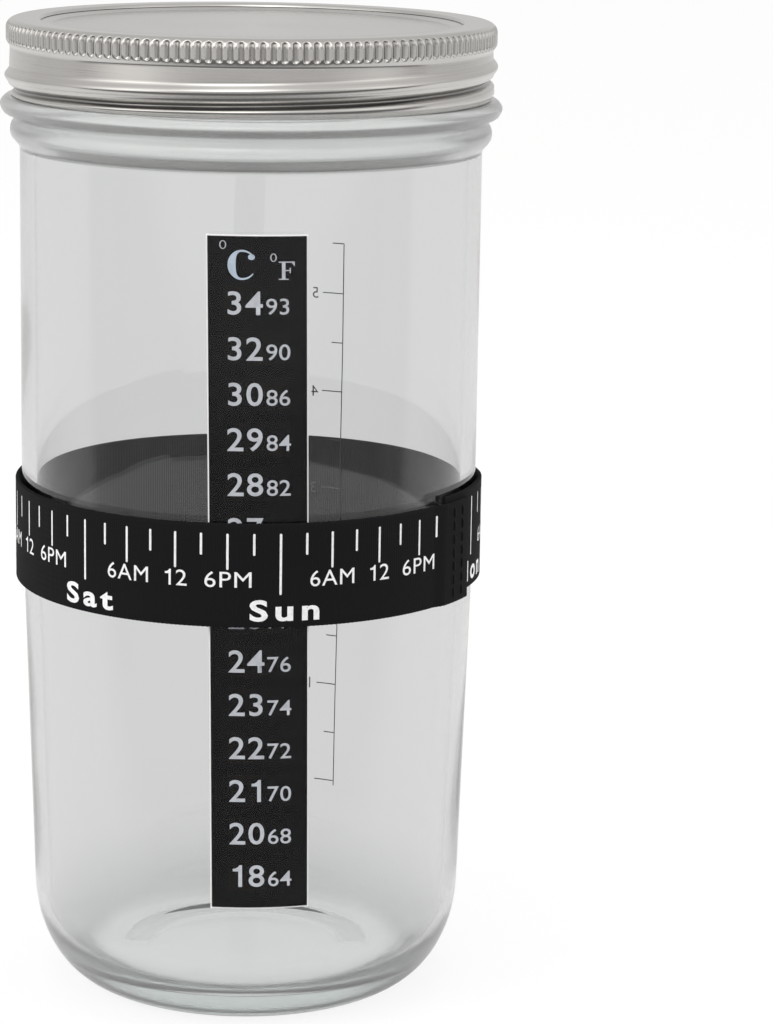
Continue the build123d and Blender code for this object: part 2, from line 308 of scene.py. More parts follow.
class Nodes:
    """Short hand for building a node tree."""

    def __init__(self, name, world=False):
        self.material = (bpy.data.worlds if world else bpy.data.materials).new(name)
        self.material.use_nodes = True
        self.tree = self.material.node_tree
        self.bsdf = None if world else self.tree.nodes["Principled BSDF"]
        self.output = self.tree.nodes["World Output" if world else "Material Output"]

    def plug(self, socket, value):
        if isinstance(value, bpy.types.NodeSocket):
            self.tree.links.new(value, socket)
        else:
            socket.default_value = value

    def node(self, kind, inputs=(), **settings):
        made = self.tree.nodes.new(kind)
        for key, value in settings.items():
            setattr(made, key, value)
        for key, value in dict(inputs).items():
            self.plug(made.inputs[key], value)
        return made

    def set(self, **values):
        for key, value in values.items():
            self.plug(self.bsdf.inputs[key.replace("_", " ")], value)

    def math(self, operation, a, b=0.0, c=0.0):
        made = self.node("ShaderNodeMath", {0: a, 1: b, 2: c}, operation=operation)
        return made.outputs[0]

    def product(self, first, *others):
        for other in others:
            first = self.math("MULTIPLY", first, other)
        return first

    def total(self, first, *others):
        for other in others:
            first = self.math("ADD", first, other)
        return first

    def rest(self, share):
        return self.math("SUBTRACT", 1.0, share)

    def dot(self, a, b):
        made = self.node("ShaderNodeVectorMath", {0: a, 1: b}, operation="DOT_PRODUCT")
        return made.outputs["Value"]

    def object_coords(self):
        return self.node("ShaderNodeTexCoord").outputs["Object"]

    def polar(self):
        """Angle in turns, radius and height in metres of the shaded point."""
        xyz = self.node("ShaderNodeSeparateXYZ", {0: self.object_coords()})
        x, y, z = xyz.outputs
        turn = self.math("DIVIDE", self.math("ARCTAN2", x, y), 2 * pi)
        radius = self.math("SQRT", self.total(self.product(x, x), self.product(y, y)))
        return turn, radius, z

    def between(self, low, high, share):
        """Value that goes from low to high with the share."""
        return self.node("ShaderNodeMix", {0: share, 2: low, 3: high}).outputs[0]

    def ease(self, value, start, end):
        """Share that goes smoothly from 0 at start to 1 at end."""
        inputs = {"Value": value, "From Min": start, "From Max": end}
        made = self.node("ShaderNodeMapRange", inputs, interpolation_type="SMOOTHSTEP")
        return made.outputs["Result"]

    def spread(self, share, low, high):
        inputs = {"Value": share, "To Min": low, "To Max": high}
        return self.node("ShaderNodeMapRange", inputs).outputs["Result"]

    def noise(self, coords, scale, detail=2.0, roughness=0.5):
        inputs = {"Vector": coords, "Scale": scale, "Detail": detail, "Roughness": roughness}
        return self.node("ShaderNodeTexNoise", inputs).outputs["Fac"]

    def ramp(self, value, stops):
        made = self.node("ShaderNodeValToRGB", {"Fac": value})
        elements = made.color_ramp.elements
        while len(elements) < len(stops):
            elements.new(0.5)
        for element, (position, colour) in zip(elements, stops):
            element.position = position
            element.color = (*colour, 1)
        return made.outputs["Color"]

    def grey_ramp(self, value, stops, tint=(1, 1, 1)):
        return self.ramp(value, [(at, [grey * c for c in tint]) for at, grey in stops])

    def bump(self, height, distance, strength=1.0):
        inputs = {"Height": height, "Distance": distance, "Strength": strength}
        self.set(Normal=self.node("ShaderNodeBump", inputs).outputs["Normal"])

    def through_glass(self, path):
        """1 for a ray that is on its way through the glass."""
        inner = self.math("GREATER_THAN", path.outputs["Transmission Depth"], 0.5)
        return self.math("MAXIMUM", inner, path.outputs["Is Transmission Ray"])


def tinted(colour, share, lift=0.0):
    return tuple(c * share + lift for c in colour)


def glass_material():
    """Clear glass, a little dull where the mould shaped its finish and its heel."""
    m = Nodes("jar_glass")
    radius, height = m.polar()[1:]
    over_shoulder = m.ease(height, 0.158, 0.161)
    under_flange_top = m.ease(height, 0.1705, 0.1685)
    finish = m.product(over_shoulder, under_flange_top)
    low = m.rest(m.ease(height, 0.004, 0.022))
    foot = m.product(low, m.ease(radius, 0.0255, 0.031))
    rough = m.total(m.product(finish, 0.17), m.product(foot, 0.15))
    haze = m.total(m.product(finish, 0.2), m.product(foot, 0.14))
    tone = m.ramp(haze, [(0.0, (0.99, 0.993, 0.99)), (0.25, (0.93, 0.945, 0.94))])
    m.set(Base_Color=tone, Roughness=rough, IOR=1.5, Transmission_Weight=m.rest(haze))
    m.bump(m.noise(m.object_coords(), 22.0, 1.0), 0.00035)
    faint_green = {"Color": (0.66, 0.82, 0.76, 1), "Density": 7.0}
    volume = m.node("ShaderNodeVolumeAbsorption", faint_green)
    m.plug(m.output.inputs["Volume"], volume.outputs[0])
    return m.material


def steel_material(name, tone, painted_groove_shade=False):
    """Satin tinplate with fine grain round the band; for the band, painted shade darkens its
    knurl's slots and its screw bead.
    """
    m = Nodes(name)
    turn, radius, height = m.polar()
    stretched = {0: m.product(turn, 0.02), 1: m.product(radius, 9.0), 2: m.product(height, 9.0)}
    grain = m.noise(m.node("ShaderNodeCombineXYZ", stretched).outputs[0], 420.0, 3.0, 0.6)
    cloud = m.noise(m.object_coords(), 60.0, 3.0, 0.55)
    mixed = m.total(m.product(grain, 0.45), m.product(cloud, 0.55))
    colour = m.ramp(mixed, [(0.25, tinted(tone, 0.86)), (0.75, tinted(tone, 1.08))])
    # Painted shade: the colour is darkened by 35 % in the knurl's slots and by 55 % in the rolled
    # screw bead, where shade falls.
    if painted_groove_shade:
        knurl = m.product(m.ease(height, 0.1786, 0.179), m.ease(height, 0.182, 0.1814))
        slots = m.product(knurl, m.ease(radius, 0.04485, 0.0445))
        bead = m.product(m.ease(height, 0.177, 0.176), m.ease(radius, 0.0442, 0.0436))
        painted_shade = m.total(m.product(slots, 0.35), m.product(bead, 0.55))
        inputs = {0: colour, 3: m.rest(painted_shade)}
        colour = m.node("ShaderNodeVectorMath", inputs, operation="SCALE").outputs[0]
    m.set(Base_Color=colour, Metallic=1.0, Roughness=m.spread(mixed, 0.13, 0.25), Anisotropic=0.3)
    m.bump(grain, 0.00001, 0.6)
    return m.material


def film_material(name, colour, roughness):
    m = Nodes(name)
    speck = m.noise(m.object_coords(), 900.0, 2.0)
    m.set(Base_Color=m.ramp(speck, [(0.3, colour), (0.8, tinted(colour, 1.5, 0.002))]))
    m.set(Roughness=m.spread(speck, roughness * 0.8, roughness * 1.25), IOR=1.2)
    m.bump(m.noise(m.object_coords(), 120.0, 1.0), 0.00004)
    return m.material


def adhesive_material():
    """Clear glue: pale on its outside, dark on its inside, where the black film shows through."""
    m = Nodes("clear_adhesive")
    shape = m.node("ShaderNodeNewGeometry")
    outward = m.dot(shape.outputs["Normal"], shape.outputs["Position"])
    outer = m.math("GREATER_THAN", outward, -0.001)
    speck = m.noise(m.object_coords(), 900.0, 2.0)
    level = m.product(m.spread(speck, 0.8, 0.92), m.math("MULTIPLY_ADD", outer, 0.96, 0.04))
    m.set(Base_Color=m.grey_ramp(level, [(0, 0), (1, 1)]), Roughness=0.3, IOR=1.3)
    return m.material


def crystal_material():
    m = Nodes("liquid_crystal")
    cloud = m.noise(m.object_coords(), 160.0, 2.0)
    m.set(Base_Color=m.ramp(cloud, [(0.3, (0.006, 0.0065, 0.008)), (0.7, (0.012, 0.010, 0.009))]))
    m.set(Roughness=m.spread(cloud, 0.25, 0.4), IOR=1.2)
    return m.material


def clear_film_material():
    m = Nodes("clear_film")
    haze = m.noise(m.object_coords(), 300.0, 2.0)
    m.set(Base_Color=(1, 1, 1, 1), IOR=1.2, Transmission_Weight=1.0)
    m.set(Roughness=m.spread(haze, 0.02, 0.08))
    return m.material


def weave_material(name, colour, ribs, pitch):
    """Woven elastic: rubber cores run round the loop and threads run across it."""
    m = Nodes(name)
    turn, radius, height = m.polar()
    across = m.math("SINE", m.product(turn, 2 * pi * ribs))
    along = m.math("SINE", m.product(height, 2 * pi / pitch))
    weave = m.total(m.product(across, 0.35), m.product(across, along, 0.12))
    lint = m.noise(m.object_coords(), 1500.0, 3.0, 0.7)
    fabric = m.total(weave, m.product(lint, 0.5))
    pale = tinted(colour, 1.5, 0.001)
    m.set(Base_Color=m.ramp(m.spread(fabric, 0.0, 0.6), [(0.0, colour), (1.0, pale)]))
    m.set(Roughness=0.9, IOR=1.25)
    m.bump(fabric, 0.00005, 0.8)
    return m.material


def print_material(name, colour, texture=700.0):
    m = Nodes(name)
    worn = m.noise(m.object_coords(), texture, 2.0, 0.6)
    m.set(Base_Color=m.ramp(worn, [(0.25, tinted(colour, 0.82)), (0.6, colour)]), Roughness=0.55)
    m.bump(worn, 0.00003, 0.5)
    return m.material


def compound_material():
    m = Nodes("sealing_compound")
    cloud = m.noise(m.object_coords(), 240.0, 3.0)
    m.set(Base_Color=m.ramp(cloud, [(0.3, (0.48, 0.46, 0.42)), (0.7, (0.56, 0.54, 0.5))]))
    m.set(Roughness=0.6)
    m.bump(cloud, 0.00005)
    return m.material


glass = glass_material()
# The band's tinplate gets painted shade in its knurl's slots and its screw bead.
tinplate = steel_material("tinplate", (0.62, 0.607, 0.588), painted_groove_shade=True)
disc_steel = steel_material("disc_steel", (0.62, 0.612, 0.6))
compound = compound_material()
black_film = film_material("black_film", (0.004, 0.004, 0.005), 0.32)
clear_adhesive = adhesive_material()
crystal = crystal_material()
clear_film = clear_film_material()
elastic = weave_material("black_elastic", (0.0065, 0.0065, 0.0075), 640, 0.0011)
thread = weave_material("black_thread", (0.012, 0.012, 0.013), 2000, 0.0003)
white_ink = print_material("white_ink", (0.86, 0.87, 0.88), 1400.0)
grey_ink = print_material("grey_ink", (0.47, 0.49, 0.53))
blue_ink = print_material("blue_ink", (0.43, 0.51, 0.60))
scale_ink = print_material("scale_ink", (0.10, 0.10, 0.10))

# Glass jar


def rib_height(z, angle):
    """Height of the glass thread rib at z: flat crest, eased flanks, sunk in at both ends."""
    best = 0.0
    for turned in (angle - 360, angle, angle + 360):
        if thread_start_angle <= turned <= thread_end_angle:
            out = fade(turned, thread_start_angle, thread_end_angle, thread_fade_angle)
            away = abs(z - thread_mid_z - thread_pitch * turned / 360)
            flank = smooth((thread_half_h - away) / thread_flank)
            best = max(best, thread_height * out * flank)
    return best


def thread_swell(r, z, angle):
    on_neck = r > body_r - 0.6 and flange_top_z + 0.2 < z < rim_z - 0.7
    return rib_height(z, angle) if on_neck else 0.0


def jar_profile():
    """The glass from the middle of the push-up, round the outside and back to the inner floor."""
    base = [
        (0, pushup_z + pushup_crown, 0),
        (12, pushup_z + 0.15, 3),
        (pushup_r, pushup_z, 1.4),
        (bearing_inner_r, 0, 1.2),
        (bearing_r, 0, 0),
    ]
    finish = [
        (wall_radius(taper_z - 20), taper_z - 20, 0),
        (body_r, taper_z, taper_ease),
        (body_r, body_top_z, 0.7),
        (bead_r, bead_low_z, 0.8),
        (bead_r, bead_high_z, 0.7),
        (groove_r, groove_z, 0.4),
        (groove_r, flange_low_z, 0.35),
        (flange_r - 0.7, flange_low_z, 0.3),
        (flange_r, flange_low_z + flange_round, 1.1),
        (flange_r, flange_top_z - flange_round, 1.0),
        (flange_r - flange_round, flange_top_z, 0.8),
        (body_r, flange_top_z, 0.6),
        (body_r, flange_top_z + 1.0, 0),
    ]
    neck = [(body_r, flange_top_z + 1.4 + 0.3 * i) for i in range(32)]
    rim = [
        (body_r, rim_z - 0.9, 0),
        (body_r, rim_z, rim_round),
        (bore_r, rim_z, rim_round),
        (bore_r, rim_z - 1.0, 0),
    ]
    bore = [(bore_r, z) for z in (170, 150, 130)]
    inside = [(bore_r, 115, 0), (bore_r, taper_z, taper_ease), (wall_radius(60) - wall, 60, 0)]
    floor_r = wall_radius(inner_heel_z) - wall - inner_heel_w
    domed = ((0.8, 0.02), (0.5, 0.1), (0.2, 0.15), (0, 0.15))
    return [
        *soften(base),
        *ellipse(bearing_r, heel_h, heel_w, heel_h, -88, 0, 26),
        *soften(finish, 6),
        *neck,
        *soften(rim, 8),
        *bore,
        *soften(inside),
        *ellipse(floor_r, inner_heel_z, inner_heel_w, inner_heel_h, 0, -90, 20),
        *[(floor_r * share, floor_z + rise) for share, rise in domed],
    ]


jar = lathe("jar_body", jar_profile(), glass, "jar", thread_swell)
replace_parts(jar, "glass_jar")

# Screw band: one sheet, rolled into the thread below and knurled above


def hump(u):
    """1 at 0, eased to 0 at 1 and -1."""
    return 0.5 + 0.5 * cos(pi * u) if abs(u) < 1 else 0.0


def rolled_radius(z, angle):
    """Outside of the rolled wall."""
    share = max(0.0, min(1.0, (z - roll_low_z) / (roll_top_z - roll_low_z)))
    radius = skirt_r + share * (recess_r - skirt_r)
    screw_z = thread_mid_z - screw_drop + thread_pitch * angle / 360
    ridge_z = screw_z + ridge_rise
    screw = -screw_depth * hump((z - screw_z) / screw_half_h)
    ridge = ridge_height * hump((z - ridge_z) / ridge_half_h)
    along = fade(angle, roll_start_angle, roll_end_angle, roll_fade_angle)
    edge = smooth((z - roll_low_z) / 0.9) * smooth((roll_top_z + 0.6 - z) / 1.2)
    curl = curl_w * smooth((roll_low_z + curl_h - z) / curl_h)
    return radius + along * edge * (screw + ridge) - curl


def flute_depth(z, angle):
    """Slots with round ends, set into the knurled wall."""
    pitch = 360 / flute_count
    off = abs((angle / pitch + 0.5) % 1 - 0.5) * pitch
    across = radians(off) * knurl_r / flute_half_w
    up = max(0.0, abs(z - flute_middle_z) - flute_straight_h) / flute_end_h
    away = (across * across + up * up) ** 0.5
    return flute_deep * smooth((1.0 - away) / flute_flank)


def band_rows():
    """Rows of (kind, r, z) up the outside of the band, over its top and down its inside."""
    roll_zs = [
        roll_low_z + (roll_top_z - roll_low_z) * i / roll_steps for i in range(roll_steps + 1)
    ]
    crown = soften(
        [
            (recess_r, roll_top_z + 0.1, 0),
            (recess_r, roll_top_z + 0.35, 0.3),
            (knurl_r, knurl_low_z, 0.5),
            (knurl_r, lid_top_z - 1.3, 0),
        ]
    )
    shoulder = (knurl_r - shoulder_r, lid_top_z - shoulder_r, shoulder_r, shoulder_r)
    hem_z = lid_top_z - 2 * sheet
    under_z = lid_top_z - sheet
    top = soften(
        [
            (42.2, lid_top_z, 0),
            (opening_top_r, lid_top_z, 0.25),
            (opening_r, hem_z, 0.1),
            (hem_r, hem_z, 0.1),
            (hem_r, under_z, 0.1),
            (43.0, under_z, 0.6),
            (knurl_inner_r, lid_top_z - 1.5, 0.4),
            (knurl_inner_r, knurl_low_z + 0.35, 0.2),
            (recess_r - sheet, roll_top_z + 0.5, 0.2),
            (recess_r - sheet, roll_top_z, 0),
        ],
        3,
    )
    return [
        *[("wall", 0, z) for z in roll_zs],
        *[("ring" if z < knurl_low_z - 0.25 else "knurl", r, z) for r, z in crown[:-1]],
        *[("knurl", knurl_r, knurl_low_z + 0.5 + 0.225 * i) for i in range(9)],
        *[("knurl", r, z) for r, z in ellipse(*shoulder, 4, 56, 9)],
        *[("ring", r, z) for r, z in ellipse(*shoulder, 62, 90, 4)],
        *[("ring", r, z) for r, z in top],
        *[("inside", 0, z) for z in reversed(roll_zs)],
    ]


def band_radius(kind, r, z, angle):
    if kind == "wall":
        return rolled_radius(z, angle)
    if kind == "inside":
        return rolled_radius(z, angle) - sheet
    if kind == "knurl":
        return r - flute_depth(z, angle)
    return r


def build_band():
    rings = []
    for kind, r, z in band_rows():
        count = knurl_columns if kind == "knurl" else band_columns
        angles = [360 * i / count - 180 for i in range(count)]
        rings.append([around(band_radius(kind, r, z, a), a, z) for a in angles])
    verts = []
    faces = []
    add_skin(verts, faces, rings, joined=True)
    return new_mesh("screw_band_sheet", verts, faces, tinplate, "band")


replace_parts(build_band(), "screw_band")

# Lid disc with its pressed panel
disc_profile = soften(
    [
        (0, panel_z, 0),
        (panel_r, panel_z, 0.5),
        (disc_shelf_r, disc_z, 0.4),
        (disc_r - 0.6, disc_z, 0.4),
        (disc_r, disc_z - 0.6, 0.4),
        (disc_r, disc_lip_z, 0.1),
        (disc_r - sheet, disc_lip_z, 0.1),
        (disc_r - sheet, disc_z - 0.6, 0.3),
        (disc_r - 0.6, disc_z - sheet, 0.3),
        (disc_shelf_r, disc_z - sheet, 0.4),
        (panel_r, panel_z - sheet, 0.5),
        (0, panel_z - sheet, 0),
    ]
)
disc = lathe("lid_disc_panel", disc_profile, disc_steel, "lid")
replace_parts(disc, "lid_disc")

# The sealing ring keeps its CAD mesh
ring_mesh = bpy.data.objects["sealing_ring"].data
ring_mesh.materials.clear()
ring_mesh.materials.append(compound)

# Thermometer strip


def strip_angle(x, z):
    """Angle of a point x millimetres to the right of the strip's middle line."""
    return strip_angle_middle + strip_lean * (z - strip_middle_z) + degrees(x / wall_radius(z))


def strip_layer(name, half_w, low_z, high_z, sides, material, slot):
    """Thin layer on the wall between two distances from the glass, closed on all sides."""
    nx = int(2 * half_w / 0.6)
    nz = int((high_z - low_z) / 2.0)
    verts = []
    for out in sides:
        for j in range(nz + 1):
            z = low_z + (high_z - low_z) * j / nz
            for i in range(nx + 1):
                x = -half_w + 2 * half_w * i / nx
                verts.append(around(wall_radius(z) + out, strip_angle(x, z), z))

    def at(side, i, j):
        return (side * (nz + 1) + j) * (nx + 1) + i

    faces = []
    for j in range(nz):
        for i in range(nx):
            for side in (0, 1):
                low = (at(side, i, j), at(side, i + 1, j))
                faces.append((*low, at(side, i + 1, j + 1), at(side, i, j + 1)))
    for j in range(nz):
        for i in (0, nx):
            faces.append((at(0, i, j), at(0, i, j + 1), at(1, i, j + 1), at(1, i, j)))
    for i in range(nx):
        for j in (0, nz):
            faces.append((at(0, i, j), at(0, i + 1, j), at(1, i + 1, j), at(1, i, j)))
    return new_mesh(name, verts, faces, material, "jar", flat=True)


glue_size = (glue_half_w, strip_low_z, strip_high_z)
glue = strip_layer("strip_glue", *glue_size, glue_out, clear_adhesive, "clear_adhesive")
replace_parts(glue, "thermometer_adhesive")
film_size = (film_half_w, strip_low_z + film_inset, strip_high_z - film_inset)
back = strip_layer("strip_black_film", *film_size, film_out, black_film, "black_film")
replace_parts(back, "thermometer_backing")
cover = strip_layer("strip_clear_film", *film_size, cover_out, clear_film, "clear_film")
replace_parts(cover, "thermometer_cover")
crystals = []
for i in range(cell_count):
    middle = row_top_z - row_pitch * i
    cell_size = (cell_half_w, middle - cell_half_h, middle + cell_half_h)
    cell = strip_layer(f"crystal_{i + 1}", *cell_size, cell_out, crystal, "liquid_crystal")
    crystals.append(cell)
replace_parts(crystals[0], "crystal_cells")

# Marker band: one woven strip whose outer end laps over the other


def lap_rise(angle):
    return (marker_t + lap_gap) * smooth((angle - lap_start_angle) / lap_step_angle)


def end_lift(angle):
    """The inner end of the elastic was sewn a little higher than the outer one."""
    return end_lift_h * smooth((end_lift_angle - angle) / end_lift_span)


def marker_section():
    """Cross-section of the elastic round its middle, with a point every millimetre."""
    half_w = marker_w / 2
    corners = []
    for side, up, first in ((1, -1, -90), (1, 1, 0), (-1, 1, 90), (-1, -1, 180)):
        r = side * (marker_t / 2 - marker_round)
        z = up * (half_w - marker_round)
        corners += ellipse(r, z, marker_round, marker_round, first, first + 90, 4)
    points = []
    for p, q in zip(corners, corners[1:] + corners[:1]):
        parts = max(1, int(abs(q[1] - p[1])))
        for k in range(parts):
            t = k / parts
            points.append((p[0] + (q[0] - p[0]) * t, p[1] + (q[1] - p[1]) * t))
    return points


def build_marker():
    half_w = marker_w / 2
    section = marker_section()
    rings = []
    for i in range(marker_columns + 1):
        angle = marker_start_angle + (marker_end_angle - marker_start_angle) * i / marker_columns
        middle_r = marker_inner_r + marker_t / 2 + lap_rise(angle)
        middle_z = marker_low_z + half_w + end_lift(angle)
        scallop = scallop_w * sin(radians(angle) * scallop_count) - edge_inset
        ring = []
        for out, up in section:
            edge = smooth((abs(up) - half_w + edge_w) / edge_w)
            r = middle_r + out + edge_swell * edge * sign(out)
            ring.append(around(r, angle, middle_z + up + scallop * edge * sign(up)))
        rings.append(ring)
    verts = []
    faces = []
    add_skin(verts, faces, rings, capped=True)
    return new_mesh("marker_elastic", verts, faces, elastic, "marker")


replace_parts(build_marker(), "marker_band")


def stitch_rings(angle, middle_z):
    """A short capsule of thread that dips into the elastic at both ends."""
    lap_r = marker_outer_r + marker_t
    rings = []
    for j in range(9):
        along = j / 4 - 1
        z = middle_z + stitch_length / 2 * along
        middle_r = lap_r + stitch_r - stitch_sag * along**4
        thick = stitch_r * (1 - 0.55 * abs(along) ** 5)
        ring = []
        for s in range(10):
            a = 2 * pi * s / 10
            side = degrees(thick * 1.25 * sin(a) / lap_r)
            ring.append(around(middle_r + thick * cos(a), angle + side, z))
        rings.append(ring)
    return rings


def build_stitches():
    verts = []
    faces = []
    for angle in stitch_angles:
        for k in range(stitch_rows):
            rings = stitch_rings(angle, stitch_first_z + stitch_pitch * k)
            add_skin(verts, faces, rings, capped=True)
    return new_mesh("seam_thread", verts, faces, thread, "marker")


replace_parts(build_stitches(), "seam_stitches")

# Print: flat outlines wrapped round the jar


def text_shape(text, weight=0.0, spacing=1.0):
    """Outline of a text as a flat mesh."""
    curve = bpy.data.curves.new("text", "FONT")
    curve.body = text
    curve.offset = weight
    curve.space_character = spacing
    curve.resolution_u = 4
    maker = bpy.data.objects.new("text", curve)
    bpy.context.scene.collection.objects.link(maker)
    bpy.context.view_layer.update()
    mesh = bpy.data.meshes.new_from_object(maker)
    bpy.data.objects.remove(maker)
    bpy.data.curves.remove(curve)
    return mesh


def polygons_shape(polygons):
    mesh = bpy.data.meshes.new("shape")
    verts = []
    faces = []
    for points in polygons:
        faces.append(tuple(range(len(verts), len(verts) + len(points))))
        verts += [(x, y, 0) for x, y in points]
    mesh.from_pydata(verts, [], faces)
    return mesh


def digit_shape(digit, weight):
    """A digit; the font's plain stroke for one gets its flag."""
    if digit != "1":
        return text_shape(digit, weight)
    stem_x = 0.22
    stem_end_x = stem_x + 0.13 + 2.2 * weight
    flag = [(0, 0.83), (0, 0.71), (stem_x, 0.71), (stem_x, 0)]
    tip = [(stem_end_x, 0), (stem_end_x, 1), (0.27, 1), (0.2, 0.9), (0.1, 0.84)]
    return polygons_shape([flag + tip])


fill_angle = 153.2
fill_out = 0.015


class Print:
    """Collects flat shapes and wraps them on a surface as one thin piece."""

    def __init__(self, name, material, body, slot, place):
        self.name = name
        self.material = material
        self.body = body
        self.slot = slot
        self.place = place
        self.bm = bmesh.new()

    def take(self, mesh):
        self.bm.from_mesh(mesh)
        bpy.data.meshes.remove(mesh)

    def add(self, mesh, x, z, height, width=None, wide=1.0):
        """Fit a flat shape to its height, and width if given, on z with its middle at x."""
        xs = [v.co.x for v in mesh.vertices]
        ys = [v.co.y for v in mesh.vertices]
        sy = height / (max(ys) - min(ys))
        sx = width / (max(xs) - min(xs)) if width else sy * wide
        move = Matrix.Translation((x, z, 0)) @ Matrix.Diagonal((sx, sy, 1, 1))
        move = move @ Matrix.Translation((-(min(xs) + max(xs)) / 2, -min(ys), 0))
        mesh.transform(move)
        self.take(mesh)

    def bar(self, x, z0, z1, width):
        """Upright stroke with slightly rounded ends."""
        h = width / 2
        cap = h * 0.6
        low = [(x - h, z0 + cap), (x - h * 0.5, z0), (x + h * 0.5, z0), (x + h, z0 + cap)]
        high = [(x + h, z1 - cap), (x + h * 0.5, z1), (x - h * 0.5, z1), (x - h, z1 - cap)]
        self.take(polygons_shape([low + high]))

    def finish(self, step=0.8):
        """Cut the shapes into upright strips that can bend, and lay them on the surface."""
        bm = self.bm
        xs = [v.co.x for v in bm.verts]
        x = min(xs) + step
        while x < max(xs):
            cut = {"geom": bm.verts[:] + bm.edges[:] + bm.faces[:], "dist": 1e-6}
            bmesh.ops.bisect_plane(bm, plane_co=(x, 0, 0), plane_no=(1, 0, 0), **cut)
            x += step
        for vert in bm.verts:
            vert.co = Vector(self.place(vert.co.x, vert.co.y))
        bm.normal_update()
        for face in bm.faces:
            middle = face.calc_center_median()
            if face.normal.dot(Vector((middle.x, middle.y, 0))) < 0:
                face.normal_flip()
        mesh = bpy.data.meshes.new(self.name)
        bm.to_mesh(mesh)
        bm.free()
        return new_piece(self.name, mesh, self.material, self.body)


def on_strip(x, z):
    return around(wall_radius(z) + print_out, strip_angle(x, z), z)


def on_marker(x, z):
    angle = degrees(x / marker_outer_r)
    return around(marker_print_r + lap_rise(angle), angle, z + end_lift(angle))


def on_far_wall(x, z):
    return around(wall_radius(z) + fill_out, fill_angle + degrees(x / body_r), z)


def box_points(x0, z0, x1, z1):
    return [(x0, z0), (x1, z0), (x1, z1), (x0, z1)]


def stroke_quads(outer, inner):
    """Quads between the two edges of a stroke."""
    return [list(quad) for quad in zip(outer, outer[1:], inner[1:], inner)]


def degree_sign(cx, cz, a, b):
    thick = 0.2
    inner = ellipse(cx, cz, a - thick, b - thick * 0.7, 0, 360, 28)
    return stroke_quads(ellipse(cx, cz, a, b, 0, 360, 28), inner)


def letter_c(cx, cz, a, b):
    """Serif C: thick left side, thin ends and a round drop at the top end."""
    outer = ellipse(cx, cz, a, b, 42, 322, 36)
    inner = []
    for x, z in outer:
        u = (x - cx) / a
        thick = 0.30 * max(0.0, -u) ** 0.8 + 0.055
        inner.append((cx + a * u * (1 - 1.24 * thick) + a * thick * 0.35, cz + (z - cz) * 0.87))
    drop = ellipse(cx + a * 0.66, cz + b * 0.52, a * 0.24, b * 0.19, 0, 360, 18)[:-1]
    return stroke_quads(outer, inner) + [drop]


def letter_f(x, z, w, h):
    """Serif F from strokes."""
    stem = box_points(x + w * 0.2, z, x + w * 0.42, z + h)
    foot = box_points(x, z, x + w * 0.62, z + h * 0.06)
    head = box_points(x, z + h * 0.94, x + w, z + h)
    arm = box_points(x + w * 0.4, z + h * 0.48, x + w * 0.7, z + h * 0.54)
    tip = [(x + w, z + h), (x + w * 0.82, z + h * 0.94), (x + w, z + h * 0.72)]
    tick = box_points(x + w * 0.68, z + h * 0.36, x + w * 0.75, z + h * 0.66)
    return [stem, foot, head, arm, tip, tick]


def print_strip():
    """Rows of degrees C and F down the strip, under their two letters."""
    rows = [(34, 93), (32, 90), (30, 86), (29, 84), (28, 82), (27, 80), (26, 79)]
    rows += [(25, 77), (24, 76), (23, 74), (22, 72), (21, 70), (20, 68), (18, 64)]
    numbers = Print("strip_numbers", grey_ink, "jar", "clear_film", on_strip)
    for i, (celsius, fahrenheit) in enumerate(rows):
        foot_z = row_top_z - row_pitch * i - 2.1
        for k, digit in enumerate(str(celsius)):
            numbers.add(digit_shape(digit, 0.01), -4.0 + 3.42 * k, foot_z, 4.15, wide=1.08)
        for k, digit in enumerate(str(fahrenheit)):
            numbers.add(digit_shape(digit, 0.004), 2.45 + 2.25 * k, foot_z + 0.05, 2.85, wide=1.1)
    numbers.take(polygons_shape(degree_sign(-5.95, 146.8, 0.6, 0.76)))
    numbers.take(polygons_shape(degree_sign(2.8, 144.6, 0.56, 0.73)))
    numbers.take(polygons_shape(letter_f(3.7, 140.7, 2.8, 3.2)))
    numbers.finish()
    letters = Print("strip_letters", blue_ink, "jar", "clear_film", on_strip)
    letters.take(polygons_shape(letter_c(-2.65, 143.3, 2.5, 2.65)))
    letters.finish()


tick_angle = 6.2
first_day_angle = 7.5
ticks_a_day = 8
tick_top_z = 95.55
tick_low_z = {"day": 84.45, "short": 91.6, "long": 89.0}
hour_z = 85.75
hour_h = 2.9
hours = {2: "6AM", 6: "6PM"}
day_z = 79.6
days = [("Sun", 12.6), ("Sat", 11.4), ("Fri", 9.2), ("Thu", 11.9), ("Wed", 13.2)]
days += [("Tue", 11.9), ("Mon", 13.2)]


def print_marker():
    """The marker's scale: a tick every three hours, the hours' names and the days' names."""
    scale = Print("marker_scale", white_ink, "marker", "black_elastic", on_marker)
    for k in range(-6 * ticks_a_day, ticks_a_day):
        x = radians(first_day_angle + tick_angle * k) * marker_outer_r
        place = k % ticks_a_day
        kind = "day" if place == 0 else ("short" if place % 2 else "long")
        scale.bar(x, tick_low_z[kind], tick_top_z, 0.42)
        if place == 4:
            for digit, side in ("1", -1.35), ("2", 1.15):
                scale.add(digit_shape(digit, 0.0), x + side, hour_z, hour_h, wide=hour_h / 2.6)
        if place in hours:
            scale.add(text_shape(hours[place], 0.0, 1.08), x + 0.1, hour_z, hour_h, 8.4)
        if place == 0:
            word, width = days[-k // ticks_a_day]
            scale.add(text_shape(word, 0.028, 1.3), x + 0.8, day_z, 3.95, width)
    scale.finish()


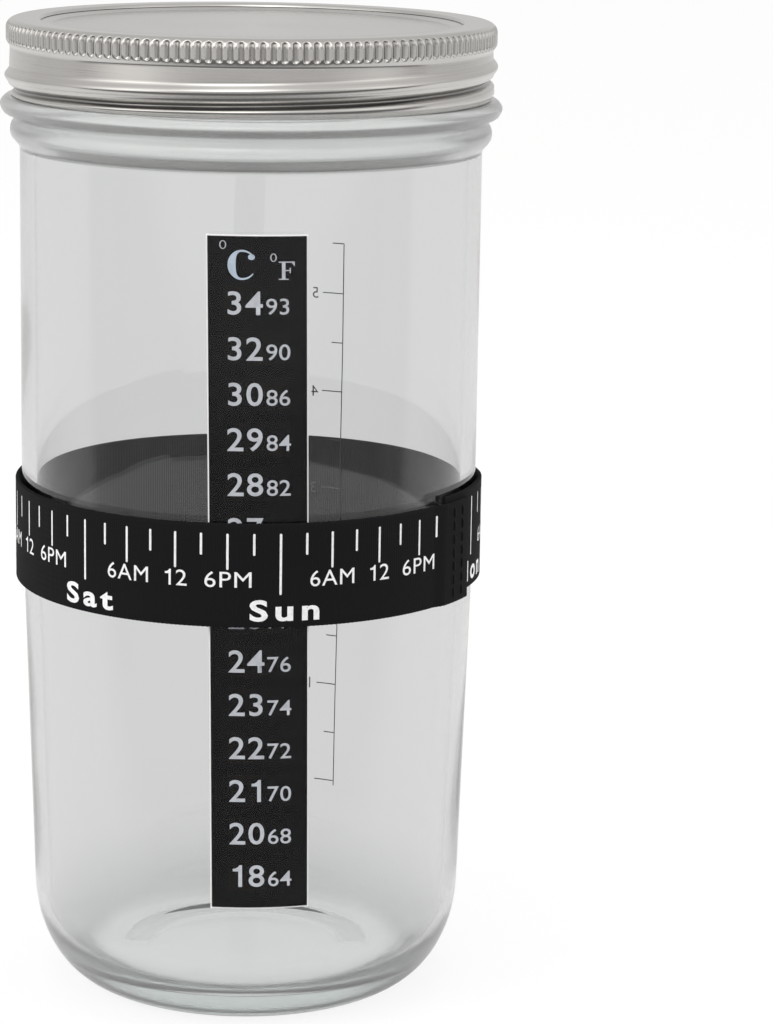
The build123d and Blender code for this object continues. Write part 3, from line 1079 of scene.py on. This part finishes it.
def print_fill_scale():
    """Plain fill scale on the far wall: one long line, ticks, and a digit at every second tick."""
    line_w = 0.22
    fill = Print("fill_scale", scale_ink, "jar", "jar_glass", on_far_wall)
    fill.bar(0, 26, 137, line_w)
    for k in range(12):
        z = 27 + 10 * k - line_w / 2
        numbered = k % 2 == 0
        fill.take(polygons_shape([box_points(0, z, 4.6 if numbered else 2.6, z + line_w)]))
        if numbered and k:
            fill.add(text_shape(str(k // 2)), 6.2, z - 1.1, 2.2)
    fill.finish()


print_strip()
print_marker()
print_fill_scale()

# Floor, light and camera, in metres
through_tone = 0.68  # what the glass shows of the surroundings behind it
panel_tint = (1, 0.985, 0.96, 1)
room_tint = (1, 0.99, 0.975)
panels = [  # direction, sharpness and strength
    ((-0.87, -0.5, 0.35), 14, 1.3),
    ((0.9, -0.45, 0.3), 16, 0.7),
    ((-0.15, -0.7, 0.7), 26, 2.8),
]
floor_greys = [(0, 0.74), (0.25, 0.66), (0.45, 0.12), (0.88, 0.13), (0.94, 0.7), (1, 0.78)]
room_greys = [(0, 0.1), (0.42, 0.3), (0.5, 0.62), (0.58, 0.4), (0.68, 0.75), (0.85, 0.9), (1, 0.7)]
backdrop_greys = [(0, 0.5), (0.5, 0.64), (0.62, 0.66), (1, 0.64)]
camera_place = (0, -0.6587, 0.2331)
camera_lens = 125.43
camera_yaw = 2.26
camera_pitch = 12.23
camera_roll = 0.89


def white_floor():
    """Pale sweep, white to the camera; in reflections it greys towards its front edge."""
    mesh = bpy.data.meshes.new("floor")
    z = -0.00003
    mesh.from_pydata([(-3, -3, z), (3, -3, z), (3, 3, z), (-3, 3, z)], [], [(0, 1, 2, 3)])
    floor = bpy.data.objects.new("floor", mesh)
    bpy.context.scene.collection.objects.link(floor)
    m = Nodes("floor_white")
    path = m.node("ShaderNodeLightPath")
    camera = path.outputs["Is Camera Ray"]
    through = m.through_glass(path)
    front = m.node("ShaderNodeSeparateXYZ", {0: m.object_coords()}).outputs[1]
    tone = m.grey_ramp(m.total(front, 1.0), floor_greys)
    m.set(Base_Color=m.between(tone, 0.92, camera), Roughness=0.8)
    strength = m.between(m.between(tone, through_tone, through), 1.0, camera)
    share = m.math("MAXIMUM", m.product(path.outputs["Is Glossy Ray"], 0.4), through)
    share = m.math("MAXIMUM", share, m.product(camera, 0.86))
    shine = m.node("ShaderNodeEmission", {"Color": (1, 1, 1, 1), "Strength": strength})
    mix = m.node("ShaderNodeMixShader", {0: share, 1: m.bsdf.outputs[0], 2: shine.outputs[0]})
    m.plug(m.output.inputs["Surface"], mix.outputs[0])
    mesh.materials.append(m.material)


def world_light():
    """Plain studio: pale backdrop behind, dimmer room in front with soft light panels."""
    m = Nodes("studio", world=True)
    bpy.context.scene.world = m.material
    way = m.node("ShaderNodeTexCoord").outputs["Generated"]
    xyz = m.node("ShaderNodeSeparateXYZ", {0: way})
    lift = m.math("MULTIPLY_ADD", xyz.outputs[2], 0.5, 0.5)
    room = m.grey_ramp(lift, room_greys, room_tint)
    backdrop = m.grey_ramp(lift, backdrop_greys, room_tint)
    behind = m.ease(xyz.outputs[1], -0.3, 0.45)
    inputs = {0: behind, 6: room, 7: backdrop}
    studio = m.node("ShaderNodeMix", inputs, data_type="RGBA").outputs[2]
    glow = 0.0
    for toward, sharpness, level in panels:
        facing = m.math("MAXIMUM", m.dot(way, Vector(toward).normalized()), 0.0)
        glow = m.total(glow, m.product(m.math("POWER", facing, sharpness), level))

    def background(colour, strength=1.0):
        return m.node("ShaderNodeBackground", {0: colour, 1: strength}).outputs[0]

    plain = background(studio)
    lit = m.node("ShaderNodeAddShader", {0: plain, 1: background(panel_tint, glow)}).outputs[0]
    white = background((1, 1, 1, 1))
    passed = background((through_tone, through_tone, through_tone * 0.995, 1))
    path = m.node("ShaderNodeLightPath")
    glossy = m.product(path.outputs["Is Glossy Ray"], 0.1)
    pale = m.math("MAXIMUM", path.outputs["Is Camera Ray"], glossy)
    first = m.node("ShaderNodeMixShader", {0: pale, 1: lit, 2: white}).outputs[0]
    inputs = {0: m.through_glass(path), 1: first, 2: passed}
    second = m.node("ShaderNodeMixShader", inputs)
    m.plug(m.output.inputs["Surface"], second.outputs[0])


def lamp(name, place, target, size, size_y, watts):
    """Soft lamp that shows neither in reflections nor through the glass."""
    light = bpy.data.lights.new(name, "AREA")
    light.shape = "RECTANGLE"
    light.size = size
    light.size_y = size_y
    light.energy = watts
    piece = bpy.data.objects.new(name, light)
    bpy.context.scene.collection.objects.link(piece)
    piece.visible_glossy = False
    piece.visible_transmission = False
    aim = Vector(target) - Vector(place)
    turn = aim.to_track_quat("-Z", "Y").to_matrix().to_4x4()
    piece.matrix_world = Matrix.Translation(place) @ turn


def photo_camera():
    yaw, pitch, roll = radians(camera_yaw), radians(camera_pitch), radians(camera_roll)
    forward = Vector((sin(yaw) * cos(pitch), cos(yaw) * cos(pitch), -sin(pitch)))
    level = Vector((cos(yaw), -sin(yaw), 0))
    upward = level.cross(forward)
    right = level * cos(roll) + upward * sin(roll)
    upward = upward * cos(roll) - level * sin(roll)
    data = bpy.data.cameras.new("photo_camera")
    data.sensor_fit = "VERTICAL"
    data.sensor_height = 36
    data.lens = camera_lens
    data.clip_start = 0.01
    data.clip_end = 20
    camera = bpy.data.objects.new("photo_camera", data)
    bpy.context.scene.collection.objects.link(camera)
    turn = Matrix((right, upward, -forward)).transposed().to_4x4()
    camera.matrix_world = Matrix.Translation(camera_place) @ turn
    bpy.context.scene.camera = camera


white_floor()
world_light()
lamp("key_left", (-0.9, -0.7, 0.75), (0, 0, 0.1), 0.5, 0.9, 6)
lamp("fill_right", (1.0, -0.5, 0.45), (0, 0, 0.1), 0.35, 0.9, 3.5)
lamp("top", (0.0, 0.15, 1.1), (0, 0, 0.15), 0.8, 0.5, 4)
photo_camera()
bpy.context.scene.view_settings.view_transform = "Standard"
